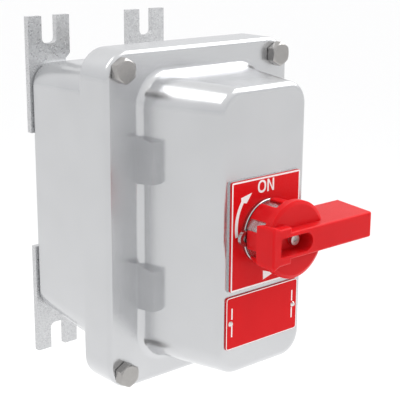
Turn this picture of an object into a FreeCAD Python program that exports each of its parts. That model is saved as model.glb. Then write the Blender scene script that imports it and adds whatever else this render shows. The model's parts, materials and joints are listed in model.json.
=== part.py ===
import FreeCAD, Part
import os
import re

import Sketcher

# Enclosed rotary isolator switch: a cast box on four wall feet, a bolted cover with a
# raised dome, a red turning handle on the dome and a stacked rotary switch inside.
#
# Frame: +Z up, the front faces -Y, +X is to the right seen from the front. The origin is
# the centre of the wall plane that the feet bear on. "Depth" is the distance from that
# plane towards the front, so a depth of d lies at y = -d.

doc = FreeCAD.newDocument("RotaryIsolator")

DIMENSIONS = {
    # cast enclosure
    "wall": 5.0,
    "joint_depth": 132.5,
    "flange_half_w": 99.0,
    "flange_half_h": 141.8,
    "flange_corner": 24.0,
    "flange_thick": 18.0,
    "back_depth": 6.0,
    "back_half_w": 74.5,
    "back_half_h": 115.5,
    "back_corner": 20.5,
    "root_half_w": 84.0,
    "root_half_h": 125.0,
    "root_corner": 26.0,
    "edge_round": 4.0,
    # dome of the cover
    "dome_front": 226.3,
    "dome_half_w": 45.0,
    "dome_half_h": 117.0,
    "dome_corner": 19.5,
    "dome_root_half_w": 65.8,
    "dome_root_half_h": 119.5,
    "dome_root_corner": 24.0,
    "dome_root_fillet": 6.0,
    "dome_round": 5.0,
    "pad_face": 69.2,
    "pad_root": 50.0,
    "pad_centre": 53.6,
    "pad_half_h": 19.5,
    "pad_front_half_h": 17.1,
    "pad_front": 170.5,
    "land_rise": 1.55,
    "land_margin": 0.8,
    "cavity_flare_w": 5.3,
    "cavity_flare_h": 0.6,
    # cover bolts and seal
    "bolt_x": 84.0,
    "bolt_z": 127.0,
    "bolt_radius": 6.0,
    "bolt_flats": 18.3,
    "bolt_head": 7.7,
    "bolt_washer": 0.6,
    "bolt_reach": 34.0,
    "seal_offset": 4.5,
    "seal_half": 1.8,
    "seal_depth": 3.0,
    # wall feet
    "foot_inner_x": 32.95,
    "foot_waist_x": 37.5,
    "foot_outer_x": 76.3,
    "foot_end_z": 156.5,
    "foot_waist_z": 118.0,
    "foot_inner_z": 53.4,
    "foot_thick": 6.0,
    "slot_centre": 54.5,
    "slot_half_w": 7.7,
    "slot_bottom": 132.0,
    "slot_corner": 5.0,
    "foot_screw_z_a": 66.0,
    "foot_screw_z_b": 100.0,
    "foot_screw_radius": 3.0,
    "foot_screw_end": 15.0,
    "foot_sink": 3.1,
    # small screws and rivets
    "thread_slack": 0.03,
    "ring_screw_radius": 2.0,
    "ring_screw_end": 222.5,
    "rivet_radius": 1.5,
    "rivet_end": 223.0,
    "plate_screw_radius": 2.5,
    "plate_screw_end": 13.0,
    "earth_screw_radius": 3.0,
    "earth_screw_end": 12.5,
    "terminal_screw_radius": 2.5,
    # cable entries
    "entry_depth": 62.0,
    "entry_radius": 15.2,
    "entry_boss": 22.0,
    "entry_inner": 107.0,
    "entry_outer": 126.0,
    # plates on the dome
    "legend_half_w": 37.5,
    "legend_half_h": 44.7,
    "legend_thick": 1.5,
    "warning_half_w": 40.06,
    "warning_half_h": 22.25,
    "warning_centre": 71.85,
    "warning_thick": 1.4,
    "rivet_x": 35.3,
    # handle, ring and sleeve
    "ring_radius": 27.0,
    "ring_thick": 3.25,
    "ring_bore": 13.0,
    "ring_screw_pitch": 19.0,
    "sleeve_radius": 26.0,
    "sleeve_bore": 23.0,
    "sleeve_back": 233.1,
    "disc_radius": 31.4,
    "disc_face_radius": 28.5,
    "disc_back": 256.0,
    "disc_rim": 261.8,
    "disc_front": 263.2,
    "skirt_radius": 28.0,
    "skirt_back": 235.0,
    "window_count": 7,
    "window_angle": 20.0,
    "window_first": 94.0,
    "lever_front": 271.7,
    "lever_half_h": 10.7,
    "lever_draft": 0.068,
    "lever_tip": 79.4,
    "grip_back": 235.2,
    "nose_end": 33.2,
    "nose_step": 16.5,
    "nose_half_h": 14.7,
    "nose_flare": 18.7,
    "nose_back_flare": 15.5,
    "nose_back": 253.0,
    "nose_corner": 5.0,
    "lever_round": 1.8,
    "recess_left": 25.0,
    "recess_right": 10.0,
    "recess_half_h": 7.5,
    "recess_floor": 258.5,
    "hub_radius": 9.5,
    "hub_back": 236.6,
    # padlock slide
    "slide_back": 233.2,
    "slide_thick": 3.0,
    "eye_x": 27.7,
    "eye_radius": 6.4,
    "eye_hole": 3.2,
    "slide_tail": 8.0,
    # operating shaft and its bearing
    "shaft_radius": 6.0,
    "shaft_back": 99.0,
    "shaft_front": 255.0,
    "shaft_square": 4.2,
    "square_length": 13.0,
    "square_front_from": 236.0,
    "bush_radius": 9.98,
    "bush_bore": 6.03,
    "bush_back": 205.0,
    "bush_front": 232.3,
    "seal_ring_centre": 7.1,
    "seal_ring_section": 1.0,
    "seal_ring_depth": 216.0,
    "circlip_depth": 203.3,
    "circlip_thick": 1.1,
    # switch
    "plate_half_w": 58.0,
    "plate_half_h": 91.0,
    "plate_depth": 21.0,
    "plate_thick": 2.0,
    "pillar_x": 45.0,
    "pillar_z": 85.0,
    "pillar_radius": 7.0,
    "switch_half": 34.0,
    "base_thick": 10.0,
    "deck_thick": 15.0,
    "lid_thick": 6.0,
    "tie_pitch": 28.0,
    "tie_radius": 2.0,
    "chamber_radius": 21.6,
    "rotor_radius": 11.0,
    "spindle_square": 4.0,
    "blade_half_l": 20.6,
    "blade_half_w": 4.5,
    "strip_half_t": 1.25,
    "strip_half_w": 5.0,
    "strip_inner": 21.2,
    "strip_bend": 24.0,
    "strip_end": 46.0,
    "terminal_pitch": 20.0,
    "terminal_z": 40.5,
    "coupler_back": 87.0,
    "coupler_front": 112.0,
    "coupler_radius": 10.0,
    "earth_x": 20.0,
    "earth_z": 102.0,
}

sheet = doc.addObject("Spreadsheet::Sheet", "Dim")
for row, (alias, size) in enumerate(DIMENSIONS.items(), start=1):
    sheet.set(f"A{row}", alias)
    sheet.set(f"B{row}", str(size))
    sheet.setAlias(f"B{row}", alias)
doc.recompute()

WORD = re.compile(r"[a-z][a-z_]*")
FACING_FRONT = FreeCAD.Rotation(FreeCAD.Vector(1, 0, 0), 90)
FACING_RIGHT = FreeCAD.Rotation(FreeCAD.Vector(0, 1, 0), 90)
UPRIGHT = FreeCAD.Rotation()
AXIS = FreeCAD.Vector(0, 0, 1)
SIDES = (1, -1)
CORNERS = [(side, level) for side in SIDES for level in SIDES]
LEG_NAMES = {(1, 1): "upper_right", (-1, 1): "upper_left",
             (1, -1): "lower_right", (-1, -1): "lower_left"}

nodes = []


# ---------------------------------------------------------------- building blocks

def cell(text):
    """Turn each alias in a formula into a reference to its cell."""
    return WORD.sub(lambda word: "Dim." + word.group() if word.group() in DIMENSIONS else word.group(),
                    str(text))


def bind(obj, **formulas):
    for name, text in formulas.items():
        obj.setExpression(name, cell(text))


def place(obj, x, depth, z, rotation=UPRIGHT):
    """Put an object's own origin at x, depth and z."""
    obj.Placement = FreeCAD.Placement(FreeCAD.Vector(), rotation)
    obj.setExpression("Placement.Base.x", cell(x))
    obj.setExpression("Placement.Base.y", cell(f"-({depth})"))
    obj.setExpression("Placement.Base.z", cell(z))
    return obj


def block(name, x, depth, z):
    """A box between pairs of x, depth and z."""
    box = doc.addObject("Part::Box", name)
    bind(box, Length=f"({x[1]}) - ({x[0]})", Width=f"({depth[1]}) - ({depth[0]})",
         Height=f"({z[1]}) - ({z[0]})")
    return place(box, x[0], depth[1], z[0])


def mid_block(name, half_w, depth, half_h):
    """A box centred on the handle's axis."""
    return block(name, (f"-({half_w})", half_w), depth, (f"-({half_h})", half_h))


def drafted(name, x, depth, half_h, z=0):
    """A box whose top and bottom draw in from the first half height to the second at its front."""
    body = doc.addObject("Part::Wedge", name)
    wide = f"({x[1]}) - ({x[0]})"
    inset = f"({half_h[0]}) - ({half_h[1]})"
    bind(body, Xmin=0, Xmax=wide, X2min=0, X2max=wide, Ymin=0, Ymax=f"({depth[1]}) - ({depth[0]})",
         Zmin=0, Zmax=f"2 * ({half_h[0]})", Z2min=inset, Z2max=f"2 * ({half_h[0]}) - ({inset})")
    turned = FreeCAD.Rotation(FreeCAD.Vector(1, 0, 0), 180)
    return place(body, x[0], depth[0], f"({z}) + {half_h[0]}", turned)


def rod(name, radius, depth, x=0, z=0, turn=0, angle=360):
    """A cylinder that points to the front, or a wedge of one."""
    cylinder = doc.addObject("Part::Cylinder", name)
    bind(cylinder, Radius=radius, Height=f"({depth[1]}) - ({depth[0]})", Angle=angle)
    start = FACING_FRONT.multiply(FreeCAD.Rotation(AXIS, turn))
    return place(cylinder, x, depth[0], z, start)


def post(name, radius, z, x, depth):
    """A cylinder that points up."""
    cylinder = doc.addObject("Part::Cylinder", name)
    bind(cylinder, Radius=radius, Height=f"({z[1]}) - ({z[0]})")
    return place(cylinder, x, depth, z[0])


def cone(name, radii, depth, x=0, z=0):
    """A cone that points to the front."""
    shape = doc.addObject("Part::Cone", name)
    bind(shape, Radius1=radii[0], Radius2=radii[1], Height=f"({depth[1]}) - ({depth[0]})")
    return place(shape, x, depth[0], z, FACING_FRONT)


def hexagon(name, flats, depth, x=0, z=0):
    """A six-sided prism that points to the front, with a corner at its top."""
    prism = doc.addObject("Part::Prism", name)
    prism.Polygon = 6
    bind(prism, Circumradius=f"({flats}) / sqrt(3)", Height=f"({depth[1]}) - ({depth[0]})")
    return place(prism, x, depth[0], z, FACING_FRONT.multiply(FreeCAD.Rotation(AXIS, 30)))


def fuse(name, *pieces):
    union = doc.addObject("Part::MultiFuse", name)
    union.Shapes = list(pieces)
    union.Refine = True
    return union


def group(name, pieces):
    """Separate solids under one name."""
    compound = doc.addObject("Part::Compound", name)
    compound.Links = list(pieces)
    return compound


def cut(name, body, *tools):
    difference = doc.addObject("Part::Cut", name)
    difference.Base = body
    difference.Tool = tools[0] if len(tools) == 1 else fuse(name + "Tools", *tools)
    difference.Refine = True
    return difference


def common(name, first, second):
    shared = doc.addObject("Part::Common", name)
    shared.Base = first
    shared.Tool = second
    return shared


def tube(name, outer, inner, depth):
    """A ring about the handle's axis."""
    return cut(name, rod(name + "Outer", outer, depth),
               rod(name + "Inner", inner, (f"({depth[0]}) - 1", f"({depth[1]}) + 1")))


def frame(name, half_w, half_h, corner, depth, z=0):
    """A sketched rectangle with round corners, centred at x = 0."""
    sketch = doc.addObject("Sketcher::SketchObject", name)
    wide, high, bend = 60.0, 90.0, 15.0
    point = FreeCAD.Vector
    corner_at = [(wide - bend, high - bend), (bend - wide, high - bend),
                 (bend - wide, bend - high), (wide - bend, bend - high)]
    quarter = 1.5707963267948966
    for index, (cx, cy) in enumerate(corner_at):
        circle = Part.Circle(point(cx, cy, 0), point(0, 0, 1), bend)
        sketch.addGeometry(Part.ArcOfCircle(circle, index * quarter, (index + 1) * quarter), False)
    sketch.addGeometry(Part.LineSegment(point(wide - bend, high, 0), point(bend - wide, high, 0)), False)
    sketch.addGeometry(Part.LineSegment(point(-wide, high - bend, 0), point(-wide, bend - high, 0)), False)
    sketch.addGeometry(Part.LineSegment(point(bend - wide, -high, 0), point(wide - bend, -high, 0)), False)
    sketch.addGeometry(Part.LineSegment(point(wide, bend - high, 0), point(wide, high - bend, 0)), False)
    add = sketch.addConstraint
    for index in range(4):
        line = 4 + index
        following = (index + 1) % 4
        add(Sketcher.Constraint("Tangent", index, 2, line, 1))
        add(Sketcher.Constraint("Tangent", line, 2, following, 1))
        if index:
            add(Sketcher.Constraint("Equal", 0, index))
    add(Sketcher.Constraint("Horizontal", 6))
    add(Sketcher.Constraint("Vertical", 7))
    add(Sketcher.Constraint("Symmetric", 4, 1, 4, 2, -2))
    add(Sketcher.Constraint("Symmetric", 5, 1, 5, 2, -1))
    sizes = [("Corner", Sketcher.Constraint("Radius", 0, bend), corner),
             ("High", Sketcher.Constraint("DistanceY", 6, 1, 4, 2, 2 * high), f"2 * ({half_h})"),
             ("Wide", Sketcher.Constraint("DistanceX", 5, 1, 7, 1, 2 * wide), f"2 * ({half_w})")]
    for label, constraint, formula in sizes:
        number = add(constraint)
        sketch.renameConstraint(number, label)
        sketch.setExpression("Constraints." + label, cell(formula))
    return place(sketch, 0, depth, z, FACING_FRONT)


def slab(name, half_w, half_h, corner, depth, z=0):
    """A plate with round corners between two depths."""
    plate = doc.addObject("Part::Extrusion", name)
    plate.Base = frame(name + "Outline", half_w, half_h, corner, depth[0], z)
    plate.DirMode = "Normal"
    plate.Solid = True
    bind(plate, LengthFwd=f"({depth[1]}) - ({depth[0]})")
    return plate


def loft(name, *outlines):
    """A solid with straight walls from one outline to the next."""
    solid = doc.addObject("Part::Loft", name)
    solid.Sections = list(outlines)
    solid.Solid = True
    solid.Ruled = True
    return solid


def pick(obj, rule):
    """Numbers of the edges whose bounding box meets a rule."""
    doc.recompute()
    return [number for number, edge in enumerate(obj.Shape.Edges, start=1) if rule(edge.BoundBox)]


def at_depth(alias_value):
    """A rule for edges that lie flat at one depth."""
    return lambda box: abs(box.YMin + alias_value) < 0.01 and abs(box.YMax + alias_value) < 0.01


def soften(name, obj, radius, rule, kind="Part::Fillet"):
    """Round or chamfer the edges that meet a rule."""
    blend = doc.addObject(kind, name)
    blend.Base = obj
    blend.Edges = [(number, radius, radius) for number in pick(obj, rule)]
    return blend


def node(name, obj):
    """Keep an object as a sub-part of the assembly."""
    obj.Label = name
    nodes.append(obj)
    return obj


# ---------------------------------------------------------------- enclosure

def seal_band(name, half, depth):
    """The band that the seal fills, round the housing's mouth."""
    rim_w, rim_h = "root_half_w - wall + seal_offset", "root_half_h - wall + seal_offset"
    bend = "root_corner - wall + seal_offset"
    outer = slab(name + "Outer", f"{rim_w} + {half}", f"{rim_h} + {half}", f"{bend} + {half}", depth)
    inner = slab(name + "Inner", f"{rim_w} - ({half})", f"{rim_h} - ({half})", f"{bend} - ({half})",
                 (f"{depth[0]} - 1", f"{depth[1]} + 1"))
    return cut(name, outer, inner)


def rear_housing():
    size = DIMENSIONS
    flange_back = "joint_depth - flange_thick"
    shell = loft("HousingShell",
                 frame("HousingBack", "back_half_w", "back_half_h", "back_corner", "back_depth"),
                 frame("HousingRoot", "root_half_w", "root_half_h", "root_corner", flange_back))
    shell = soften("HousingBackRound", shell, size["edge_round"], at_depth(size["back_depth"]))
    flange = slab("HousingFlange", "flange_half_w", "flange_half_h", "flange_corner",
                  (flange_back, "joint_depth"))
    flange = soften("HousingFlangeRound", flange, 2.5,
                    at_depth(size["joint_depth"] - size["flange_thick"]))
    outside = fuse("HousingOutside", shell, flange)
    cavity = loft("HousingCavity",
                  frame("CavityBack", "back_half_w - wall", "back_half_h - wall", "back_corner - wall",
                        "back_depth + wall"),
                  frame("CavityMouth", "root_half_w - wall + 1", "root_half_h - wall + 1",
                        "root_corner - wall", "joint_depth + 1"))
    hollow = cut("HousingHollow", outside, cavity)
    inside_face = "back_depth + wall - 1"
    bosses = []
    for side, level in CORNERS:
        tag = LEG_NAMES[side, level].title().replace("_", "")
        bosses.append(rod("Pillar" + tag, "pillar_radius", (inside_face, "plate_depth"),
                          f"{side} * pillar_x", f"{level} * pillar_z"))
        for letter in "ab":
            bosses.append(rod(f"FootBoss{tag}{letter}", "pillar_radius", (inside_face, "plate_depth - 3"),
                              f"{side} * slot_centre", f"{level} * foot_screw_z_{letter}"))
    bosses.append(rod("EarthBoss", "pillar_radius", (inside_face, "plate_depth - 1"),
                      "-earth_x", "-earth_z"))
    bosses.append(post("TopEntryBoss", "entry_boss", ("entry_inner", "entry_outer"), 0, "entry_depth"))
    bosses.append(post("BottomEntryBoss", "entry_boss", ("-entry_outer", "-entry_inner"), 0, "entry_depth"))
    solid = fuse("HousingSolid", hollow, *bosses)
    holes = [
        seal_band("SealGroove", "seal_half + 0.2", ("joint_depth - seal_depth", "joint_depth + 1")),
        post("BottomEntryBore", "entry_radius", ("-entry_outer - 3", "-entry_inner + 5"), 0, "entry_depth"),
        post("TopEntryBore", "entry_radius", ("entry_inner - 5", "entry_outer + 3"), 0, "entry_depth"),
        rod("EarthHole", "earth_screw_radius + thread_slack", ("earth_screw_end - 0.5", "plate_depth"),
            "-earth_x", "-earth_z"),
    ]
    for side, level in CORNERS:
        tag = LEG_NAMES[side, level].title().replace("_", "")
        holes.append(rod("CoverBoltHole" + tag, "bolt_radius + 0.05", ("joint_depth - flange_thick - 2",
                         "joint_depth + 2"), f"{side} * bolt_x", f"{level} * bolt_z"))
        holes.append(rod("PlateScrewHole" + tag, "plate_screw_radius + thread_slack",
                         ("plate_screw_end - 0.5", "plate_depth + 1"), f"{side} * pillar_x",
                         f"{level} * pillar_z"))
        for letter in "ab":
            holes.append(rod(f"FootHole{tag}{letter}", "foot_screw_radius + thread_slack",
                             ("back_depth - 1", "foot_screw_end + 1"), f"{side} * slot_centre",
                             f"{level} * foot_screw_z_{letter}"))
    node("rear_housing", cut("RearHousing", solid, *holes))


def wall_pad(name, level):
    """A cast pad on the dome's left wall, a little shorter at its front than at the flange."""
    return drafted(name, ("-pad_face", "-pad_root"), ("joint_depth + flange_thick", "pad_front"),
                   ("pad_half_h", "pad_front_half_h"), f"{level} * pad_centre")


def front_cover():
    size = DIMENSIONS
    face = size["joint_depth"] + size["flange_thick"]
    flange = slab("CoverFlange", "flange_half_w", "flange_half_h", "flange_corner",
                  ("joint_depth", "joint_depth + flange_thick"))
    flange = soften("CoverFlangeRound", flange, size["edge_round"], at_depth(face))
    dome = loft("CoverDome",
                frame("DomeRoot", "dome_root_half_w", "dome_root_half_h", "dome_root_corner",
                      "joint_depth + flange_thick"),
                frame("DomeFront", "dome_half_w", "dome_half_h", "dome_corner", "dome_front"))
    dome = soften("CoverDomeRound", dome, size["dome_round"], at_depth(size["dome_front"]))
    outside = fuse("CoverOutside", flange, dome)

    def dome_root(box):
        limit = size["dome_root_half_w"] + 0.1
        return at_depth(face)(box) and box.XMax < limit and box.XMin > -limit

    outside = soften("CoverRootFillet", outside, size["dome_root_fillet"], dome_root)
    extras = [wall_pad("Pad" + name, level) for name, level in (("Upper", 1), ("Lower", -1))]
    extras.append(slab("LegendLand", "legend_half_w + land_margin", "legend_half_h + land_margin", "2",
                       ("dome_front - 1", "dome_front + land_rise")))
    outside = fuse("CoverWithPads", outside, *extras)
    cavity = loft("CoverCavity",
                  frame("CoverMouth", "dome_root_half_w - wall + cavity_flare_w",
                        "dome_root_half_h - wall + cavity_flare_h",
                        "dome_root_corner - wall", "joint_depth - 1"),
                  frame("CoverCrown", "dome_half_w - wall", "dome_half_h - wall", "dome_corner - wall",
                        "dome_front - wall"))
    hollow = cut("CoverHollow", outside, cavity)
    boss = rod("ShaftBoss", "ring_screw_pitch + 5", ("bush_back", "dome_front - wall + 1"))
    solid = fuse("CoverSolid", hollow, boss)
    holes = [rod("BushBore", "bush_radius + 0.02", ("bush_back - 1", "dome_front + 5"))]
    for side, level in CORNERS:
        tag = LEG_NAMES[side, level].title().replace("_", "")
        holes.append(rod("CoverHole" + tag, "bolt_radius + 0.75", ("joint_depth - 1",
                         "joint_depth + flange_thick + 1"), f"{side} * bolt_x", f"{level} * bolt_z"))
        holes.append(rod("RingScrewHole" + tag, "ring_screw_radius + thread_slack",
                         ("ring_screw_end - 0.5", "dome_front + 5"), f"{side} * ring_screw_pitch / sqrt(2)",
                         f"{level} * ring_screw_pitch / sqrt(2)"))
    for side in SIDES:
        holes.append(rod("RivetHole" + ("Right" if side > 0 else "Left"), "rivet_radius + thread_slack",
                         ("rivet_end - 0.5", "dome_front + 5"), f"{side} * rivet_x", "-warning_centre"))
    node("front_cover", cut("FrontCover", solid, *holes))


def cover_bolts():
    face = "joint_depth + flange_thick"
    seat = f"{face} + bolt_washer"
    top = f"{seat} + bolt_head"
    bolts = []
    for side, level in CORNERS:
        tag = LEG_NAMES[side, level].title().replace("_", "")
        x, z = f"{side} * bolt_x", f"{level} * bolt_z"
        crown = cone("BoltCrown" + tag, ("bolt_flats * 0.46 + bolt_head * sqrt(3)", "bolt_flats * 0.46"),
                     (seat, top), x, z)
        head = common("BoltHead" + tag, hexagon("BoltHex" + tag, "bolt_flats", (seat, top), x, z), crown)
        bolts.append(fuse("Bolt" + tag, head,
                          rod("BoltWasher" + tag, "bolt_flats * 0.475", (face, f"{seat} + 0.5"), x, z),
                          rod("BoltShank" + tag, "bolt_radius", (f"{face} - bolt_reach", f"{face} + 0.5"),
                              x, z)))
    node("cover_bolts", group("CoverBolts", bolts))


def cover_seal():
    node("cover_seal", seal_band("CoverSeal", "seal_half", ("joint_depth - seal_depth", "joint_depth")))


def mounting_feet():
    """One slotted foot at the upper right, and its mirror images at the other corners."""
    size = DIMENSIONS
    thick = (0, "foot_thick")
    plate = fuse("FootPlate",
                 block("FootHead", ("foot_inner_x", "foot_outer_x"), thick,
                       ("foot_waist_z", "foot_end_z")),
                 block("FootTail", ("foot_waist_x", "foot_outer_x"), thick,
                       ("foot_inner_z", "foot_waist_z")))

    def step_corner(box):
        upright = abs(box.XMin - size["foot_inner_x"]) < 0.01 and abs(box.XMax - size["foot_inner_x"]) < 0.01
        return upright and box.YLength > 1 and abs(box.ZMax - size["foot_waist_z"]) < 0.01

    plate = soften("FootStep", plate, 4.0, step_corner, "Part::Chamfer")
    past = (-1, "foot_thick + 1")
    inset = "slot_half_w - slot_corner"
    bottom = "slot_bottom + slot_corner"
    slot = [block("SlotRun", ("slot_centre - slot_half_w", "slot_centre + slot_half_w"), past,
                  (bottom, "foot_end_z + 1")),
            block("SlotFloor", (f"slot_centre - ({inset})", f"slot_centre + ({inset})"), past,
                  ("slot_bottom", bottom))]
    slot += [rod("SlotCorner" + name, "slot_corner", past, f"slot_centre {sign} ({inset})", bottom)
             for name, sign in (("Left", "-"), ("Right", "+"))]
    for letter in "ab":
        z = "foot_screw_z_" + letter
        slot.append(rod("FootClear" + letter, "foot_screw_radius + 0.3", past, "slot_centre", z))
        slot.append(cone("FootSink" + letter, ("foot_screw_radius + 3.4", "foot_screw_radius + 0.3"),
                         (0, "foot_sink"), "slot_centre", z))
    feet = {(1, 1): cut("FootUpperRight", plate, *slot)}
    for key, source, normal in (((-1, 1), (1, 1), (1, 0, 0)), ((1, -1), (1, 1), (0, 0, 1)),
                                ((-1, -1), (-1, 1), (0, 0, 1))):
        mirror = doc.addObject("Part::Mirroring", "Foot" + LEG_NAMES[key].title().replace("_", ""))
        mirror.Source = feet[source]
        mirror.Normal = FreeCAD.Vector(*normal)
        feet[key] = mirror
    for key, foot in feet.items():
        node("mounting_foot_" + LEG_NAMES[key], foot)


def foot_screws():
    screws = []
    for side, level in CORNERS:
        for letter in "ab":
            tag = LEG_NAMES[side, level].title().replace("_", "") + letter
            x, z = f"{side} * slot_centre", f"{level} * foot_screw_z_{letter}"
            screws.append(fuse("FootScrew" + tag,
                               cone("FootScrewHead" + tag, ("foot_screw_radius + 2.8", "foot_screw_radius"),
                                    ("0.3", "foot_sink"), x, z),
                               rod("FootScrewShank" + tag, "foot_screw_radius",
                                   ("foot_sink - 0.1", "foot_screw_end"), x, z)))
    node("foot_screws", group("FootScrews", screws))


def blanking_plug():
    """Screwed plug that closes the top entry, with a coin slot."""
    body = fuse("PlugBody",
                post("PlugThread", "entry_radius - 0.05", ("entry_inner + 3", "entry_outer"), 0,
                     "entry_depth"),
                post("PlugHead", "entry_boss - 2", ("entry_outer", "entry_outer + 4"), 0, "entry_depth"))
    slot = block("PlugSlot", ("-12", "12"), ("entry_depth - 1.5", "entry_depth + 1.5"),
                 ("entry_outer + 2", "entry_outer + 5"))
    node("blanking_plug", cut("BlankingPlug", body, slot))


# ---------------------------------------------------------------- plates on the dome

def ring_screw_spots():
    for side, level in CORNERS:
        tag = LEG_NAMES[side, level].title().replace("_", "")
        yield tag, f"{side} * ring_screw_pitch / sqrt(2)", f"{level} * ring_screw_pitch / sqrt(2)"


def legend_plate():
    back = "dome_front + land_rise"
    plate = slab("LegendBlank", "legend_half_w", "legend_half_h", "1.2", (back, f"{back} + legend_thick"))
    past = (f"{back} - 1", f"{back} + legend_thick + 1")
    holes = [rod("LegendBore", "bush_radius + 0.5", past)]
    holes += [rod("LegendHole" + tag, "2.3", past, x, z) for tag, x, z in ring_screw_spots()]
    node("legend_plate", cut("LegendPlate", plate, *holes))


def warning_plate():
    plate = slab("WarningBlank", "warning_half_w", "warning_half_h", "2.5",
                 ("dome_front", "dome_front + warning_thick"), "-warning_centre")
    past = ("dome_front - 1", "dome_front + warning_thick + 1")
    holes = [rod("WarningHole" + ("Right" if side > 0 else "Left"), "1.6", past,
                 f"{side} * rivet_x", "-warning_centre") for side in SIDES]
    node("warning_plate", cut("WarningPlate", plate, *holes))


def plate_rivets():
    rivets = []
    top = "dome_front + warning_thick"
    for side in SIDES:
        tag = "Right" if side > 0 else "Left"
        x, z = f"{side} * rivet_x", "-warning_centre"
        rivets.append(fuse("Rivet" + tag,
                           cone("RivetHead" + tag, ("2.3", "1.3"), (top, f"{top} + 1.3"), x, z),
                           rod("RivetShank" + tag, "rivet_radius", ("rivet_end", f"{top} + 0.3"), x, z)))
    node("plate_rivets", group("PlateRivets", rivets))


def base_ring():
    """Metal ring screwed through the legend plate, on which the handle turns."""
    back = "dome_front + land_rise + legend_thick"
    front = f"{back} + ring_thick"
    ring = tube("RingBlank", "ring_radius", "ring_bore", (back, front))
    front_value = sum(DIMENSIONS[key] for key in ("dome_front", "land_rise", "legend_thick", "ring_thick"))
    ring = soften("RingEdge", ring, 0.5, at_depth(front_value), "Part::Chamfer")
    holes = []
    for tag, x, z in ring_screw_spots():
        holes.append(rod("RingClear" + tag, "2.2", (f"{back} - 1", f"{front} + 1"), x, z))
        holes.append(cone("RingSink" + tag, ("2.2", "4.4"), (f"{front} - 2.2", front), x, z))
    node("base_ring", cut("BaseRing", ring, *holes))


def ring_screws():
    front = "dome_front + land_rise + legend_thick + ring_thick"
    head, shank = (f"{front} - 2.2", f"{front} - 0.2"), ("ring_screw_end", f"{front} - 2")
    screws = [fuse("RingScrew" + tag,
                   cone("RingScrewHead" + tag, ("ring_screw_radius", "4"), head, x, z),
                   rod("RingScrewShank" + tag, "ring_screw_radius", shank, x, z))
              for tag, x, z in ring_screw_spots()]
    node("ring_screws", group("RingScrews", screws))


# ---------------------------------------------------------------- handle and shaft

def nose_outline(name, flare, depth):
    """The flared nose that points at the switch position, seen from the front."""
    sketch = doc.addObject("Sketcher::SketchObject", name)
    waist = "(nose_end + nose_step) / 2"
    half = [("nose_step - 3", "nose_half_h"), (waist, "nose_half_h"), ("nose_end", flare)]
    left = [(x, z) for x, z in half] + [(x, f"-({z})") for x, z in reversed(half)]
    rough = [(-13.5, 14.7), (-24.9, 14.7), (-33.2, 18.3), (-33.2, -18.3), (-24.9, -14.7), (-13.5, -14.7)]
    vertex = [FreeCAD.Vector(x, z, 0) for x, z in rough]
    count = len(vertex)
    for index in range(count):
        sketch.addGeometry(Part.LineSegment(vertex[index], vertex[(index + 1) % count]), False)
    for index in range(count):
        sketch.addConstraint(Sketcher.Constraint("Coincident", index, 2, (index + 1) % count, 1))
    for index, (x, z) in enumerate(left):
        for letter, kind, formula, value in (("X", "DistanceX", f"-({x})", vertex[index].x),
                                             ("Z", "DistanceY", z, vertex[index].y)):
            number = sketch.addConstraint(Sketcher.Constraint(kind, -1, 1, index, 1, value))
            sketch.renameConstraint(number, f"{letter}{index}")
            sketch.setExpression(f"Constraints.{letter}{index}", cell(formula))
    return place(sketch, 0, depth, 0, FACING_FRONT)


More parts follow.
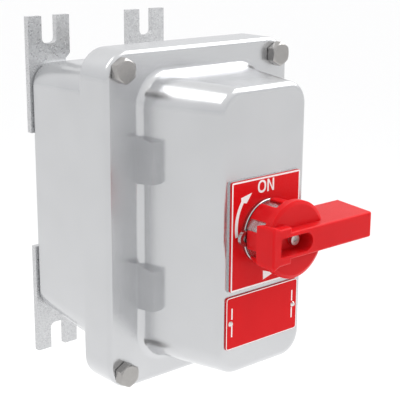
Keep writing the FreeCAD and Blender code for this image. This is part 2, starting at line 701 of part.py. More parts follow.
def handle():
    size = DIMENSIONS
    flared = loft("NoseFlared", nose_outline("NoseBack", "nose_back_flare", "nose_back"),
                  nose_outline("NoseFront", "nose_flare", "lever_front"))
    nose = common("Nose", flared, slab("NoseCorners", "nose_end", "nose_flare", "nose_corner",
                                       ("nose_back", "lever_front")))
    bar = drafted("LeverBar", ("-nose_step", "lever_tip"), ("disc_back + 3", "lever_front"),
                  ("lever_half_h + lever_draft * (lever_front - disc_back - 3)", "lever_half_h"))
    grip = drafted("Grip", ("sleeve_radius - 6", "lever_tip"), ("grip_back", "lever_front"),
                   ("lever_half_h + lever_draft * (lever_front - grip_back)", "lever_half_h"))
    lever = fuse("Lever", bar, grip, nose)

    def outer_edge(box):
        front = abs(box.YMin + size["lever_front"]) < 0.01 and abs(box.YMax + size["lever_front"]) < 0.01
        tip = abs(box.XMin - size["lever_tip"]) < 0.01 and abs(box.XMax - size["lever_tip"]) < 0.01
        return front or tip

    lever = soften("LeverRound", lever, size["lever_round"], outer_edge)
    seat = rod("SleeveSeat", "sleeve_radius + 0.1", ("sleeve_back - 3", "disc_back"))
    lever = cut("LeverOverSleeve", lever, seat)
    disc = fuse("Disc", rod("DiscRim", "disc_radius", ("disc_back", "disc_rim")),
                cone("DiscBevel", ("disc_radius", "disc_face_radius"), ("disc_rim", "disc_front")))
    skirt = tube("Skirt", "skirt_radius", "sleeve_radius + 0.1", ("skirt_back", "disc_back + 0.5"))
    step = 360.0 / size["window_count"]
    windows = [rod(f"Window{index}", "disc_radius + 10", ("skirt_back - 1", "disc_back"),
                   turn=size["window_first"] + index * step, angle="window_angle")
               for index in range(size["window_count"])]
    skirt = cut("SkirtFingers", skirt, *windows)
    hub = rod("Hub", "hub_radius", ("hub_back", "disc_back + 1"))
    guides = [block("SlideGuide" + name, ("-sleeve_bore + 2.4", "-5"),
                    ("slide_back + 0.3", "disc_back + 1"), z)
              for name, z in (("Upper", ("eye_radius + 0.5", "eye_radius + 2.7")),
                              ("Lower", ("-eye_radius - 2.7", "-eye_radius - 0.5")))]
    solid = fuse("HandleSolid", lever, disc, skirt, hub, *guides)
    round_x = "recess_right - recess_half_h"
    recess = [block("RecessRun", ("-recess_left", round_x), ("recess_floor", "lever_front + 1"),
                    ("-recess_half_h", "recess_half_h")),
              rod("RecessEnd", "recess_half_h", ("recess_floor", "lever_front + 1"), round_x),
              mid_block("HubSquare", "shaft_square + 0.1", ("hub_back - 1", "shaft_front + 0.2"),
                        "shaft_square + 0.1"),
              rod("ScrewWay", "3.2", ("shaft_front - 1", "recess_floor + 1")),
              rod("ShaftWay", "shaft_radius + 0.4", ("slide_back - 1", "hub_back")),
              block("SlideSlot", ("-skirt_radius - 1", "1 - sleeve_radius"),
                    ("slide_back - 1", "slide_back + slide_thick + 0.4"),
                    ("-eye_radius - 2.8", "eye_radius + 2.8"))]
    node("handle", cut("Handle", solid, *recess))


def handle_sleeve():
    """Metal sleeve inside the handle's skirt, notched for the padlock slide."""
    sleeve = tube("SleeveBlank", "sleeve_radius", "sleeve_bore", ("sleeve_back", "disc_back"))
    notch = block("SleeveNotch", ("-sleeve_radius - 1", "-sleeve_bore + 4"),
                  ("sleeve_back - 1", "slide_back + slide_thick + 0.4"),
                  ("-eye_radius - 0.4", "eye_radius + 0.4"))
    node("handle_sleeve", cut("HandleSleeve", sleeve, notch))


def handle_screw():
    body = fuse("HandleScrewBody",
                rod("HandleScrewHead", "4.4", ("recess_floor", "recess_floor + 3.6")),
                rod("HandleScrewShank", "3", ("shaft_front - 14", "recess_floor + 0.5")))
    socket = hexagon("HandleScrewSocket", "4", ("recess_floor + 1.6", "recess_floor + 4"))
    node("handle_screw", cut("HandleScrew", body, socket))


def padlock_slide():
    depth = ("slide_back", "slide_back + slide_thick")
    plate = fuse("SlideBlank", rod("SlideEye", "eye_radius", depth, "-eye_x"),
                 block("SlideTail", ("-eye_x", "-slide_tail"), depth, ("-eye_radius", "eye_radius")))
    node("padlock_slide", cut("PadlockSlide", plate,
                              rod("EyeHole", "eye_hole", ("slide_back - 1", "slide_back + 5"), "-eye_x")))


def shaft():
    """Round shaft with a square at each end and a tapped front end."""
    back_from = "shaft_back + square_length"
    ends = [common("SquareEnd" + name, rod("EndRound" + name, "shaft_radius", depth),
                   mid_block("EndSquare" + name, "shaft_square", depth, "shaft_square"))
            for name, depth in (("Back", ("shaft_back", back_from)),
                                ("Front", ("square_front_from", "shaft_front")))]
    body = fuse("ShaftBody", rod("ShaftRound", "shaft_radius", (back_from, "square_front_from")), *ends)
    groove = tube("CirclipGroove", "shaft_radius + 1", "shaft_radius - 0.8",
                  ("circlip_depth - 0.1", "circlip_depth + circlip_thick + 0.1"))
    tapped = rod("ShaftTapping", "3 + thread_slack", ("shaft_front - 16", "shaft_front + 1"))
    node("shaft", cut("Shaft", body, groove, tapped))


def shaft_bearing():
    bush = tube("BushBlank", "bush_radius", "bush_bore", ("bush_back", "bush_front"))
    groove = rod("BushGroove", "seal_ring_centre + 1.2", ("seal_ring_depth - 1.2", "seal_ring_depth + 1.2"))
    node("shaft_bush", cut("ShaftBush", bush, groove))
    ring = doc.addObject("Part::Torus", "ShaftSeal")
    bind(ring, Radius1="seal_ring_centre", Radius2="seal_ring_section")
    node("shaft_seal", place(ring, 0, "seal_ring_depth", 0, FACING_FRONT))
    clip = tube("ClipBlank", "9.2", "shaft_radius - 0.75",
                ("circlip_depth", "circlip_depth + circlip_thick"))
    gap = block("ClipGap", (-3, 3), ("circlip_depth - 1", "circlip_depth + 3"), (-10, -4))
    node("retaining_ring", cut("RetainingRing", clip, gap))


def drive_coupler():
    body = rod("CouplerBody", "coupler_radius", ("coupler_back", "coupler_front"))
    meeting = "shaft_back - 1.5"
    sockets = [mid_block("SpindleSocket", "spindle_square + 0.2", ("coupler_back - 1", meeting),
                         "spindle_square + 0.2"),
               mid_block("ShaftSocket", "shaft_square + 0.15", (meeting, "coupler_front + 1"),
                         "shaft_square + 0.15"),
               screw_cylinder("GrubHole", "2.05", "coupler_radius + 1")]
    node("drive_coupler", cut("DriveCoupler", body, *sockets))
    node("coupler_screw", screw_cylinder("CouplerScrew", "2", "coupler_radius - 0.3"))


def screw_cylinder(name, radius, end):
    """A cylinder that points right from the switch spindle's flat."""
    cylinder = doc.addObject("Part::Cylinder", name)
    bind(cylinder, Radius=radius, Height=f"({end}) - (spindle_square + 0.1)")
    return place(cylinder, "spindle_square + 0.1", "coupler_back + 4.5", 0, FACING_RIGHT)


# ---------------------------------------------------------------- switch

DECK_COUNT = 3
BASE_TOP = "plate_depth + plate_thick + base_thick"
STACK_TOP = f"{BASE_TOP} + {DECK_COUNT} * deck_thick"
LID_TOP = f"{STACK_TOP} + lid_thick"


def deck_level(index):
    return f"{BASE_TOP} + ({index} + 0.5) * deck_thick"


def tie_holes(name, radius, depth):
    return [rod(f"{name}{index}", radius, depth, f"{side} * tie_pitch", f"{level} * tie_pitch")
            for index, (side, level) in enumerate(CORNERS)]


def mounting_plate():
    top = "plate_depth + plate_thick"
    plate = slab("PlateBlank", "plate_half_w", "plate_half_h", "6", ("plate_depth", top))
    past = ("plate_depth - 1", f"{top} + 1")
    holes = tie_holes("PlateTieHole", "tie_radius + thread_slack", past)
    screws = []
    for index, (side, level) in enumerate(CORNERS):
        x, z = f"{side} * pillar_x", f"{level} * pillar_z"
        holes.append(rod(f"PlateHole{index}", "2.8", past, x, z))
        screws.append(fuse(f"PlateScrew{index}",
                           rod(f"PlateScrewHead{index}", "4.4", (top, f"{top} + 3.4"), x, z),
                           rod(f"PlateScrewShank{index}", "plate_screw_radius",
                               ("plate_screw_end", f"{top} + 0.5"), x, z)))
    node("mounting_plate", cut("MountingPlate", plate, *holes))
    node("plate_screws", group("PlateScrews", screws))


def earth_terminal():
    seat = "plate_depth - 1"
    x, z = "-earth_x", "-earth_z"
    washer = cut("EarthWasher", rod("EarthWasherBlank", "6.5", (seat, f"{seat} + 1.5"), x, z),
                 rod("EarthWasherHole", "3.2", (f"{seat} - 1", f"{seat} + 3"), x, z))
    node("earth_washer", washer)
    screw = fuse("EarthScrew", hexagon("EarthScrewHead", "10", (f"{seat} + 1.5", f"{seat} + 5.5"), x, z),
                 rod("EarthScrewShank", "earth_screw_radius", ("earth_screw_end", f"{seat} + 2"), x, z))
    node("earth_screw", screw)


def switch_base():
    block_depth = ("plate_depth + plate_thick", BASE_TOP)
    blank = mid_block("BaseBlank", "switch_half", block_depth, "switch_half")
    bearing = rod("BaseBearing", "5.05", ("plate_depth + plate_thick + 2.2", f"{BASE_TOP} + 1"))
    holes = tie_holes("BaseTieHole", "tie_radius + 0.2", ("plate_depth", f"{BASE_TOP} + 1"))
    node("switch_base", cut("SwitchBase", blank, bearing, *holes))


def strip_blocks(name, index, level, slack):
    """Blocks of one contact strip, which steps sideways to its own terminal."""
    offset = index - (DECK_COUNT - 1) / 2
    low_x = f"{min(offset, 0)} * terminal_pitch - strip_half_w - {slack}"
    high_x = f"{max(offset, 0)} * terminal_pitch + strip_half_w + {slack}"
    middle = deck_level(index)
    depth = (f"{middle} - strip_half_t - {slack}", f"{middle} + strip_half_t + {slack}")
    runs = (("Tip", f"-strip_half_w - {slack}", f"strip_half_w + {slack}", "strip_inner", "strip_bend + 1"),
            ("Bar", low_x, high_x, f"strip_bend - {slack}", f"strip_bend + 5 + {slack}"),
            ("Tail", f"{offset} * terminal_pitch - strip_half_w - {slack}",
             f"{offset} * terminal_pitch + strip_half_w + {slack}", "strip_bend", "strip_end"))
    pieces = []
    for part, x_low, x_high, near, far in runs:
        z = (near, far) if level > 0 else (f"-({far})", f"-({near})")
        pieces.append(block(f"{name}{part}", (x_low, x_high), depth, z))
    return pieces


def contact_decks():
    for index in range(DECK_COUNT):
        depth = (f"{BASE_TOP} + {index} * deck_thick", f"{BASE_TOP} + ({index} + 1) * deck_thick")
        past = (f"{depth[0]} - 1", f"{depth[1]} + 1")
        blank = mid_block(f"DeckBlank{index}", "switch_half", depth, "switch_half")
        tools = [rod(f"Chamber{index}", "chamber_radius", past)]
        tools += tie_holes(f"DeckTieHole{index}", "tie_radius + 0.2", past)
        for level in SIDES:
            tools += strip_blocks(f"Channel{index}{'Top' if level > 0 else 'Bottom'}", index, level, 0.15)
        node(f"contact_deck_{index + 1}", cut(f"ContactDeck{index}", blank, *tools))


def terminals():
    strips, clamps, screws = [], [], []
    for index in range(DECK_COUNT):
        for level in SIDES:
            tag = f"{index}{'Top' if level > 0 else 'Bottom'}"
            x = f"{index - (DECK_COUNT - 1) / 2} * terminal_pitch"
            z = f"{level} * terminal_z"
            middle = deck_level(index)
            face = f"{middle} + strip_half_t"
            strip = fuse("Strip" + tag, *strip_blocks("Strip" + tag, index, level, 0))
            strips.append(cut("FixedContact" + tag, strip,
                              rod("StripHole" + tag, "terminal_screw_radius + thread_slack",
                                  (f"{middle} - 3", f"{middle} + 3"), x, z)))
            clamps.append(cut("Clamp" + tag,
                              block("ClampBlank" + tag, (f"{x} - 4.5", f"{x} + 4.5"),
                                    (face, f"{face} + 1.6"), (f"{z} - 4.5", f"{z} + 4.5")),
                              rod("ClampHole" + tag, "2.7", (f"{face} - 1", f"{face} + 3"), x, z)))
            screws.append(fuse("TerminalScrew" + tag,
                               rod("TerminalHead" + tag, "4", (f"{face} + 1.6", f"{face} + 4.4"), x, z),
                               rod("TerminalShank" + tag, "terminal_screw_radius",
                                   (f"{middle} - 4", f"{face} + 2"), x, z)))
    node("fixed_contacts", group("FixedContacts", strips))
    node("terminal_clamps", group("TerminalClamps", clamps))
    node("terminal_screws", group("TerminalScrews", screws))


def switch_lid():
    blank = mid_block("LidBlank", "switch_half", (STACK_TOP, LID_TOP), "switch_half")
    past = (f"{STACK_TOP} - 1", f"{LID_TOP} + 1")
    holes = tie_holes("LidTieHole", "tie_radius + 0.2", past)
    node("switch_lid", cut("SwitchLid", blank, rod("LidBearing", "7.05", past), *holes))
    screws = [fuse(f"TieScrew{index}",
                   rod(f"TieHead{index}", "3.8", (LID_TOP, f"{LID_TOP} + 2.5"), x, z),
                   rod(f"TieShank{index}", "tie_radius", ("plate_depth - 2", f"{LID_TOP} + 0.5"), x, z))
              for index, (x, z) in enumerate((f"{side} * tie_pitch", f"{level} * tie_pitch")
                                             for side, level in CORNERS)]
    node("tie_screws", group("TieScrews", screws))


def rotor():
    body = fuse("RotorBody",
                rod("RotorSpigot", "5", ("plate_depth + plate_thick + 2.5", f"{BASE_TOP} + 1")),
                rod("RotorDrum", "rotor_radius", (f"{BASE_TOP} + 0.3", f"{STACK_TOP} - 0.3")),
                rod("RotorNeck", "7", (f"{STACK_TOP} - 1", f"{LID_TOP} + 0.5")),
                mid_block("RotorSquare", "spindle_square", (LID_TOP, "shaft_back - 2.5"), "spindle_square"))
    slots, blades = [], []
    for index in range(DECK_COUNT):
        middle = deck_level(index)
        slots.append(mid_block(f"BladeSlot{index}", "rotor_radius + 1",
                               (f"{middle} - strip_half_t - 0.1", f"{middle} + strip_half_t + 0.1"),
                               "blade_half_w + 0.1"))
        blades.append(mid_block(f"Blade{index}", "blade_half_l",
                                (f"{middle} - strip_half_t", f"{middle} + strip_half_t"), "blade_half_w"))
    node("rotor", cut("Rotor", body, *slots))
    node("moving_contacts", group("MovingContacts", blades))


# ---------------------------------------------------------------- build and export

for make in (rear_housing, front_cover, cover_bolts, cover_seal, mounting_feet, foot_screws, blanking_plug,
             legend_plate, warning_plate, plate_rivets, base_ring, ring_screws, handle, handle_sleeve,
             handle_screw, padlock_slide, shaft, shaft_bearing, drive_coupler, mounting_plate,
             earth_terminal, switch_base, contact_decks, terminals, switch_lid, rotor):
    make()
doc.recompute()

for obj in doc.Objects:
    if "Invalid" in obj.State or "Error" in obj.State:
        raise RuntimeError(f"{obj.Name} is not built: {obj.State}")
for obj in nodes:
    if obj.Shape.isNull() or not obj.Shape.isValid():
        raise RuntimeError(f"{obj.Label} has no valid shape")

os.makedirs("parts", exist_ok=True)
for obj in nodes:
    obj.Shape.exportStep(f"parts/{obj.Label}.step")
    box = obj.Shape.BoundBox
    print(f"{obj.Label:28s} solids {len(obj.Shape.Solids)}  volume {obj.Shape.Volume:10.0f}  "
          f"x {box.XMin:.1f} {box.XMax:.1f}  y {box.YMin:.1f} {box.YMax:.1f}  "
          f"z {box.ZMin:.1f} {box.ZMax:.1f}")
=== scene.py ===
import json
import math

import bmesh
import bpy
from mathutils import Matrix, Vector


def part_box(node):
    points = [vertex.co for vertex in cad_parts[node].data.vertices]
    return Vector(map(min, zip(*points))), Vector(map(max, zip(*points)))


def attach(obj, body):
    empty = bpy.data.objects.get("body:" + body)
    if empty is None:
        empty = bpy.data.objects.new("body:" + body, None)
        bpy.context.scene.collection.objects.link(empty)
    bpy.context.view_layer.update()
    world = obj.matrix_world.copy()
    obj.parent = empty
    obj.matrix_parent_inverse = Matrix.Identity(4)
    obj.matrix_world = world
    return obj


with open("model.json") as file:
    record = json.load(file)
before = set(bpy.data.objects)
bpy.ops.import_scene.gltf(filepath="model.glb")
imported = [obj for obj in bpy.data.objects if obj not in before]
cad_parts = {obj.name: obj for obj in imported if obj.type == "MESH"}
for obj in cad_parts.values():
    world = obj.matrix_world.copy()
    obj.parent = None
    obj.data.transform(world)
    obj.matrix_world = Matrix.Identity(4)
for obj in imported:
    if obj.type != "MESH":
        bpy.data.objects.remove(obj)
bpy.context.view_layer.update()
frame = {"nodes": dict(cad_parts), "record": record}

# Looks of an enclosed rotary isolator switch: a cast aluminium box on four slotted feet, with
# red plates and a red turning handle. +Z is up and the front faces -Y. Lengths are in metres.

MM = 0.001
NODES = frame["nodes"]

CAST_GREY = (0.56, 0.565, 0.575)
BOLT_X, BOLT_Z = 84 * MM, 127 * MM      # axes of the four cover bolts, from the middle

INK_THICK = 0.05 * MM
INK_LIFT = 0.7                          # from the plate to the ink's middle, in thicknesses

FLOOR_HALF, FLOOR_HEIGHT = 40.0, -0.75
SKY_LOW, SKY_HIGH = (0.88, 0.885, 0.90, 1), (1.12, 1.12, 1.12, 1)
SKY_HIGH_AT = 0.8                       # upper end of the sky's ramp

SENSOR_MM, LENS_MM = 36.0, 95.93
LENS_SHIFT = (0.0143, 0.0024)
EYE = (-0.57742, -0.81088, 0.24732)
AZIMUTH, ELEVATION, ROLL = -40.776, 15.278, 0.369       # degrees


# ---------------------------------------------------------------- node graphs

class Graph:
    """Short ways to add nodes to one material."""

    def __init__(self, name, colour, metallic, roughness, **sockets):
        self.material = bpy.data.materials.new(name)
        self.material.use_nodes = True
        self.material.diffuse_color = (*colour, 1)
        self.tree = self.material.node_tree
        self.shader = self.tree.nodes["Principled BSDF"]
        plain = {"Base Color": (*colour, 1), "Metallic": metallic, "Roughness": roughness}
        for socket, value in {**plain, **sockets}.items():
            self.shader.inputs[socket].default_value = value
        self.place = self.add("ShaderNodeTexCoord").outputs["Object"]

    def add(self, kind, **settings):
        made = self.tree.nodes.new(kind)
        for name, value in settings.items():
            setattr(made, name, value)
        return made

    def feed(self, made, **values):
        """Give each socket, by its name or as i and its index, a number or a node's output."""
        for name, value in values.items():
            by_index = name[0] == "i" and name[1:].isdigit()
            socket = made.inputs[int(name[1:]) if by_index else name]
            if isinstance(value, bpy.types.NodeSocket):
                self.tree.links.new(value, socket)
            else:
                socket.default_value = value
        return made.outputs[0]

    def math(self, operation, first, second=0.0):
        return self.feed(self.add("ShaderNodeMath", operation=operation), i0=first, i1=second)

    def stretched(self, x, y, z):
        """The place, scaled along each axis."""
        return self.feed(self.add("ShaderNodeMapping"), Vector=self.place, Scale=(x, y, z))

    def noise(self, scale, detail=2.0, place=None):
        made = self.add("ShaderNodeTexNoise")
        return self.feed(made, Vector=place or self.place, Scale=scale, Detail=detail)

    def cells(self, scale):
        """Random value of each cell of a fine grain."""
        made = self.add("ShaderNodeTexVoronoi")
        self.feed(made, Vector=self.place, Scale=scale)
        return self.feed(self.add("ShaderNodeSeparateColor"), Color=made.outputs["Color"])

    def span(self, value, low, high, start=0.0, end=1.0):
        """The value's range from start to end, moved to low to high."""
        made = self.add("ShaderNodeMapRange")
        return self.feed(made, i0=value, i1=start, i2=end, i3=low, i4=high)

    def mix(self, factor, first, second):
        """A colour between two others. The node repeats its sockets' names, hence the indexes."""
        made = self.add("ShaderNodeMix", data_type="RGBA")
        self.feed(made, i0=factor, i6=(*first, 1), i7=(*second, 1))
        return made.outputs[2]

    def paint(self, colour):
        self.tree.links.new(colour, self.shader.inputs["Base Color"])

    def shine(self, roughness):
        self.tree.links.new(roughness, self.shader.inputs["Roughness"])

    def bumps(self, *layers):
        """Stack bumps, each a height, a strength and a depth in metres, and give the material."""
        normal = None
        for height, strength, depth in layers:
            made = self.add("ShaderNodeBump")
            self.feed(made, Height=height, Strength=strength, Distance=depth)
            if normal:
                self.tree.links.new(normal, made.inputs["Normal"])
            normal = made.outputs["Normal"]
        self.tree.links.new(normal, self.shader.inputs["Normal"])
        return self.material

    def rings(self, spacing, x, z):
        """Fine turned rings about four axes along Y, placed evenly about the middle."""
        split = self.add("ShaderNodeSeparateXYZ")
        self.feed(split, Vector=self.place)
        across = self.math("SUBTRACT", self.math("ABSOLUTE", split.outputs["X"]), x)
        upright = self.math("SUBTRACT", self.math("ABSOLUTE", split.outputs["Z"]), z)
        square = self.math("ADD", self.math("MULTIPLY", across, across),
                           self.math("MULTIPLY", upright, upright))
        turns = self.math("MULTIPLY", self.math("SQRT", square), math.tau / spacing)
        return self.math("SINE", turns)


# ---------------------------------------------------------------- materials

def cast_aluminium():
    """Bright casting with a glossy skin, a fine grain and soft ripples."""
    g = Graph("cast_aluminium", CAST_GREY, metallic=0.9, roughness=0.2)
    grain = g.noise(scale=820.0)
    blotch = g.noise(scale=26.0, detail=3.0)
    edge = {"start": 0.35, "end": 0.65}
    g.paint(g.mix(g.span(blotch, low=0.0, high=1.0, **edge), CAST_GREY, (0.585, 0.59, 0.60)))
    g.shine(g.span(blotch, low=0.21, high=0.27, **edge))
    return g.bumps((g.noise(scale=45.0, detail=1.0), 0.06, 0.1 * MM), (grain, 0.3, 0.045 * MM))


def foot_metal():
    """Flat plate with a coarse glittering grain."""
    g = Graph("foot_metal", CAST_GREY, metallic=0.9, roughness=0.35)
    flake = g.cells(scale=850.0)
    g.paint(g.mix(flake, (0.50, 0.505, 0.515), (0.64, 0.645, 0.65)))
    g.shine(g.span(flake, low=0.26, high=0.42))
    return g.bumps((g.noise(scale=60.0), 0.15, 0.1 * MM), (flake, 0.3, 0.04 * MM))


def bolt_steel():
    """Stainless hexagon heads with turned end faces."""
    g = Graph("bolt_steel", (0.36, 0.35, 0.34), metallic=1.0, roughness=0.24)
    streak = g.noise(scale=420.0)
    tone = g.noise(scale=300.0, detail=3.0)
    g.paint(g.mix(tone, (0.33, 0.32, 0.31), (0.40, 0.39, 0.38)))
    g.shine(g.span(streak, low=0.18, high=0.30))
    turned = g.rings(0.5 * MM, BOLT_X, BOLT_Z)
    return g.bumps((turned, 0.08, 0.015 * MM), (streak, 0.06, 0.02 * MM))


def zinc_steel():
    """Bright zinc plating, a little cloudy."""
    g = Graph("zinc_steel", (0.66, 0.67, 0.66), metallic=1.0, roughness=0.3)
    cloud = g.noise(scale=160.0, detail=3.0)
    g.paint(g.mix(cloud, (0.58, 0.60, 0.58), (0.76, 0.76, 0.74)))
    g.shine(g.span(cloud, low=0.22, high=0.42))
    return g.bumps((g.noise(scale=1400.0), 0.15, 0.03 * MM))


def sleeve_steel():
    """Nickel-plated sleeve and ring with fine turning marks along the axis."""
    g = Graph("sleeve_steel", (0.50, 0.49, 0.50), metallic=1.0, roughness=0.24)
    turned = g.noise(scale=1.0, place=g.stretched(40.0, 2600.0, 40.0))
    g.paint(g.mix(turned, (0.42, 0.41, 0.42), (0.58, 0.57, 0.58)))
    g.shine(g.span(turned, low=0.16, high=0.34))
    return g.bumps((turned, 0.2, 0.03 * MM))


def nickel_brass():
    """Nickel plating on brass, worn yellow in places."""
    g = Graph("nickel_brass", (0.72, 0.70, 0.66), metallic=1.0, roughness=0.2)
    worn = g.noise(scale=90.0, detail=4.0)
    patch = g.span(worn, low=0.0, high=1.0, start=0.5, end=0.8)
    g.paint(g.mix(patch, (0.74, 0.73, 0.70), (0.70, 0.62, 0.46)))
    g.shine(g.span(worn, low=0.14, high=0.32))
    return g.bumps((g.noise(scale=900.0), 0.1, 0.03 * MM))


def bearing_brass():
    """Turned brass."""
    g = Graph("bearing_brass", (0.72, 0.55, 0.25), metallic=1.0, roughness=0.28)
    mark = g.noise(scale=1.0, place=g.stretched(60.0, 2200.0, 60.0))
    g.paint(g.mix(mark, (0.62, 0.46, 0.20), (0.80, 0.63, 0.32)))
    g.shine(g.span(mark, low=0.2, high=0.38))
    return g.bumps((mark, 0.15, 0.03 * MM))


def contact_copper():
    """Drawn copper with dull spots of tarnish."""
    g = Graph("contact_copper", (0.78, 0.42, 0.27), metallic=1.0, roughness=0.3)
    tarnish = g.noise(scale=110.0, detail=4.0)
    spot = g.span(tarnish, low=0.0, high=1.0, start=0.4, end=0.75)
    g.paint(g.mix(spot, (0.82, 0.46, 0.30), (0.55, 0.29, 0.19)))
    g.shine(g.span(tarnish, low=0.2, high=0.45))
    drawn = g.noise(scale=1.0, place=g.stretched(2400.0, 90.0, 90.0))
    return g.bumps((drawn, 0.12, 0.03 * MM))


def moulded(name, colour, low, high, gloss, texture, **sockets):
    """Moulded plastic: gentle sink ripples, a fine texture and small changes of tone."""
    darker, lighter = 0.94, 1.06
    g = Graph(name, colour, 0.0, low, **{"Specular IOR Level": gloss, **sockets})
    tone = g.noise(scale=40.0)
    grain = g.noise(scale=texture)
    g.paint(g.mix(tone, [part * darker for part in colour],
                  [min(1, part * lighter) for part in colour]))
    g.shine(g.span(grain, low, high, start=0.3, end=0.7))
    return g.bumps((tone, 0.1, 0.12 * MM), (grain, 0.1, 0.02 * MM))


def red_plastic():
    """Thick red plastic that lets some light through."""
    return moulded("red_plastic", (0.58, 0.007, 0.010), low=0.28, high=0.42, gloss=0.14,
                   texture=1500.0, **{"Subsurface Weight": 0.6,
                                      "Subsurface Radius": (1.0, 0.06, 0.06),
                                      "Subsurface Scale": 7 * MM})


def red_laminate():
    return moulded("red_laminate", (0.63, 0.006, 0.009), low=0.22, high=0.34, gloss=0.11,
                   texture=2200.0)


def black_plastic():
    return moulded("black_plastic", (0.022, 0.022, 0.024), low=0.42, high=0.6, gloss=0.4,
                   texture=1100.0)


def grey_plastic():
    return moulded("grey_plastic", (0.20, 0.205, 0.21), low=0.4, high=0.58, gloss=0.4,
                   texture=1100.0)


def black_rubber():
    return moulded("black_rubber", (0.012, 0.012, 0.012), low=0.65, high=0.85, gloss=0.3,
                   texture=800.0)


def white_print():
    """Printed white ink, slightly uneven."""
    g = Graph("white_print", (0.86, 0.86, 0.85), metallic=0.0, roughness=0.4)
    ink = g.noise(scale=700.0)
    g.paint(g.mix(ink, (0.80, 0.80, 0.79), (0.92, 0.92, 0.91)))
    g.shine(g.span(ink, low=0.32, high=0.5))
    return g.bumps((ink, 0.1, 0.02 * MM))


def dress_nodes():
    """Give each CAD node the procedural material that its slot in the record names."""
    makers = (cast_aluminium, foot_metal, bolt_steel, zinc_steel, sleeve_steel, nickel_brass,
              bearing_brass, contact_copper, red_plastic, red_laminate, black_plastic,
              grey_plastic, black_rubber)
    finishes = {make.__name__: make() for make in makers}
    for part in frame["record"]["subparts"]:
        mesh = NODES[part["node"]].data
        mesh.materials.clear()
        mesh.materials.append(finishes[part["material_slot"]])


# ---------------------------------------------------------------- printing on the plates

def curve(name, loops, front, material):
    """A flat printed shape between closed loops of x and z, just proud of the plane y = front."""
    shape = bpy.data.curves.new(name, "CURVE")
    shape.dimensions = "2D"
    shape.fill_mode = "BOTH"
    shape.extrude = INK_THICK / 2
    for loop in loops:
        spline = shape.splines.new("POLY")
        spline.points.add(len(loop) - 1)
        for point, (x, z) in zip(spline.points, loop):
            point.co = (x, z, 0, 1)
        spline.use_cyclic_u = True
    shape.materials.append(material)
    piece = bpy.data.objects.new(name, shape)
    bpy.context.scene.collection.objects.link(piece)
    upright = Matrix.Rotation(math.pi / 2, 4, "X")
    piece.matrix_world = Matrix.Translation((0, front - INK_THICK * INK_LIFT, 0)) @ upright
    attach(piece, "enclosure")


def rounded(half_w, half_h, corner, x=0.0, z=0.0, steps=6):
    """Points of a rectangle with round corners."""
    loop = []
    for turn, (side, level) in enumerate(((1, 1), (-1, 1), (-1, -1), (1, -1))):
        for step in range(steps + 1):
            angle = (turn + step / steps) * math.pi / 2
            loop.append((x + side * (half_w - corner) + corner * math.cos(angle),
                         z + level * (half_h - corner) + corner * math.sin(angle)))
    return loop


def oval(half_w, half_h, x, z, power=2.3, steps=48):
    """Points of an oval, slightly squared where the power is above 2."""
    loop = []
    for step in range(steps):
        angle = math.tau * step / steps
        cos, sin = math.cos(angle), math.sin(angle)
        loop.append((x + half_w * math.copysign(abs(cos) ** (2 / power), cos),
                     z + half_h * math.copysign(abs(sin) ** (2 / power), sin)))
    return loop


def letter_n(left, right, base, top, stroke):
    """Outline of a capital N, whose diagonal meets each upright over a height of slope."""
    slope = 1.45 * stroke
    return [(left, base), (left + stroke, base), (left + stroke, top - slope),
            (right - stroke, base), (right, base), (right, top), (right - stroke, top),
            (right - stroke, base + slope), (left + stroke, top), (left, top)]


def arrow(centre, radius, start, end, width, head, steps=24):
    """A curved line about a centre, from one angle to another, that ends in a head."""
    def at(angle, reach):
        return centre[0] + reach * math.cos(angle), centre[1] + reach * math.sin(angle)

    angles = [start + (end - start) * step / steps for step in range(steps + 1)]
    outer = [at(angle, radius + width / 2) for angle in angles]
    inner = [at(angle, radius - width / 2) for angle in reversed(angles)]
    return outer + head + inner


def border(name, node, width, corner, ink):
    """A printed edge round a plate, inset a little from the plate's own edge."""
    inset, least_corner = 0.1 * MM, 0.2 * MM
    low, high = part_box(node)
    half_w, half_h = (high.x - low.x) / 2, (high.z - low.z) / 2
    middle = (low.z + high.z) / 2
    outer = rounded(half_w - inset, half_h - inset, corner, z=middle)
    inner = rounded(half_w - width, half_h - width, max(corner - width, least_corner), z=middle)
    curve(name, [outer, inner], low.y, ink)


def printing():
    """The word ON, its arrow, the OFF mark, the borders and the lines by the rivets."""
    ink = white_print()
    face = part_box("legend_plate")[0].y
    border("legend_border", "legend_plate", width=1.4 * MM, corner=1.2 * MM, ink=ink)
    border("warning_border", "warning_plate", width=0.8 * MM, corner=2.5 * MM, ink=ink)

    centre, half_w, half_h, stroke = (-5.4 * MM, 37.4 * MM), 4.5 * MM, 5.2 * MM, 1.75 * MM
    outer = oval(half_w, half_h, *centre)
    inner = oval(half_w - stroke, half_h - stroke, *centre)
    curve("letter_o", [outer, inner], face, ink)
    curve("letter_n", [letter_n(left=0.4 * MM, right=7.9 * MM, base=32.3 * MM, top=42.5 * MM,
                                stroke=1.7 * MM)], face, ink)
    head = [(-27.7 * MM, 31.4 * MM), (-16.2 * MM, 33.9 * MM), (-21.8 * MM, 26.2 * MM)]
    curve("on_arrow", [arrow(centre=(3.8 * MM, 7.6 * MM), radius=36.2 * MM,
                             start=math.radians(192), end=math.radians(146),
                             width=3.1 * MM, head=head)], face, ink)
    triangle = [(-2.2 * MM, -33.4 * MM), (-1.9 * MM, -41.2 * MM), (9.8 * MM, -37.8 * MM)]
    curve("off_mark", [triangle], face, ink)

    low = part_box("warning_plate")[0].y
    rivet_x, half_w, half_h, corner = 34 * MM, 0.65 * MM, 4.7 * MM, 0.2 * MM
    for side, name in ((1, "right"), (-1, "left")):
        for level, middle in (("upper", -63.7 * MM), ("lower", -78.7 * MM)):
            line = rounded(half_w, half_h, corner, side * rivet_x, middle)
            curve(f"rivet_line_{level}_{name}", [line], low, ink)


# ---------------------------------------------------------------- scene

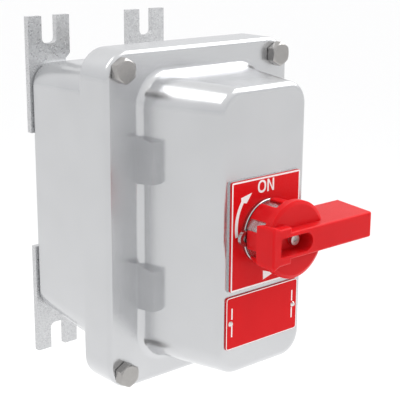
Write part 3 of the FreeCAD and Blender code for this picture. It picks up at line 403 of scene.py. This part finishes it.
def floor():
    made = Graph("pale_floor", (0.92, 0.92, 0.92), metallic=0.0, roughness=0.8)
    mesh = bpy.data.meshes.new("floor")
    build = bmesh.new()
    bmesh.ops.create_grid(build, x_segments=2, y_segments=2, size=FLOOR_HALF)
    build.to_mesh(mesh)
    build.free()
    mesh.materials.append(made.material)
    piece = bpy.data.objects.new("floor", mesh)
    piece.location.z = FLOOR_HEIGHT
    bpy.context.scene.collection.objects.link(piece)


def sky():
    """A pale studio, a little brighter overhead."""
    world = bpy.data.worlds.new("studio")
    bpy.context.scene.world = world
    world.use_nodes = True
    tree = world.node_tree
    place = tree.nodes.new("ShaderNodeTexCoord")
    split = tree.nodes.new("ShaderNodeSeparateXYZ")
    ramp = tree.nodes.new("ShaderNodeValToRGB")
    bottom, top = ramp.color_ramp.elements
    bottom.color, top.color, top.position = SKY_LOW, SKY_HIGH, SKY_HIGH_AT
    tree.links.new(place.outputs["Generated"], split.inputs[0])
    tree.links.new(split.outputs["Z"], ramp.inputs[0])
    tree.links.new(ramp.outputs["Color"], tree.nodes["Background"].inputs["Color"])


def lamp(name, place, aim, size, power):
    """A soft square light at a place, pointed at another."""
    light = bpy.data.lights.new(name, "AREA")
    light.energy = power
    light.size = size
    piece = bpy.data.objects.new(name, light)
    piece.location = place
    piece.rotation_mode = "QUATERNION"
    piece.rotation_quaternion = (Vector(aim) - Vector(place)).to_track_quat("-Z", "Y")
    bpy.context.scene.collection.objects.link(piece)


def camera():
    """The eye stands to the left of the front and a little above it."""
    lens = bpy.data.cameras.new("eye")
    lens.sensor_width, lens.lens = SENSOR_MM, LENS_MM
    lens.shift_x, lens.shift_y = LENS_SHIFT
    piece = bpy.data.objects.new("eye", lens)
    azimuth, elevation, roll = map(math.radians, (AZIMUTH, ELEVATION, ROLL))
    turn = (Matrix.Rotation(azimuth, 4, "Z") @ Matrix.Rotation(math.pi / 2 - elevation, 4, "X")
            @ Matrix.Rotation(roll, 4, "Z"))
    piece.matrix_world = Matrix.Translation(EYE) @ turn
    bpy.context.scene.collection.objects.link(piece)
    bpy.context.scene.camera = piece


dress_nodes()
printing()
floor()
sky()
lamp("key_light", place=(0.94, -0.49, 1.09), aim=(0, -0.12, 0), size=1.3, power=15)
lamp("rim_light", place=(-0.7, 0.35, 1.2), aim=(0, -0.1, 0), size=0.8, power=5)
camera()
bpy.context.scene.view_settings.view_transform = "Standard"
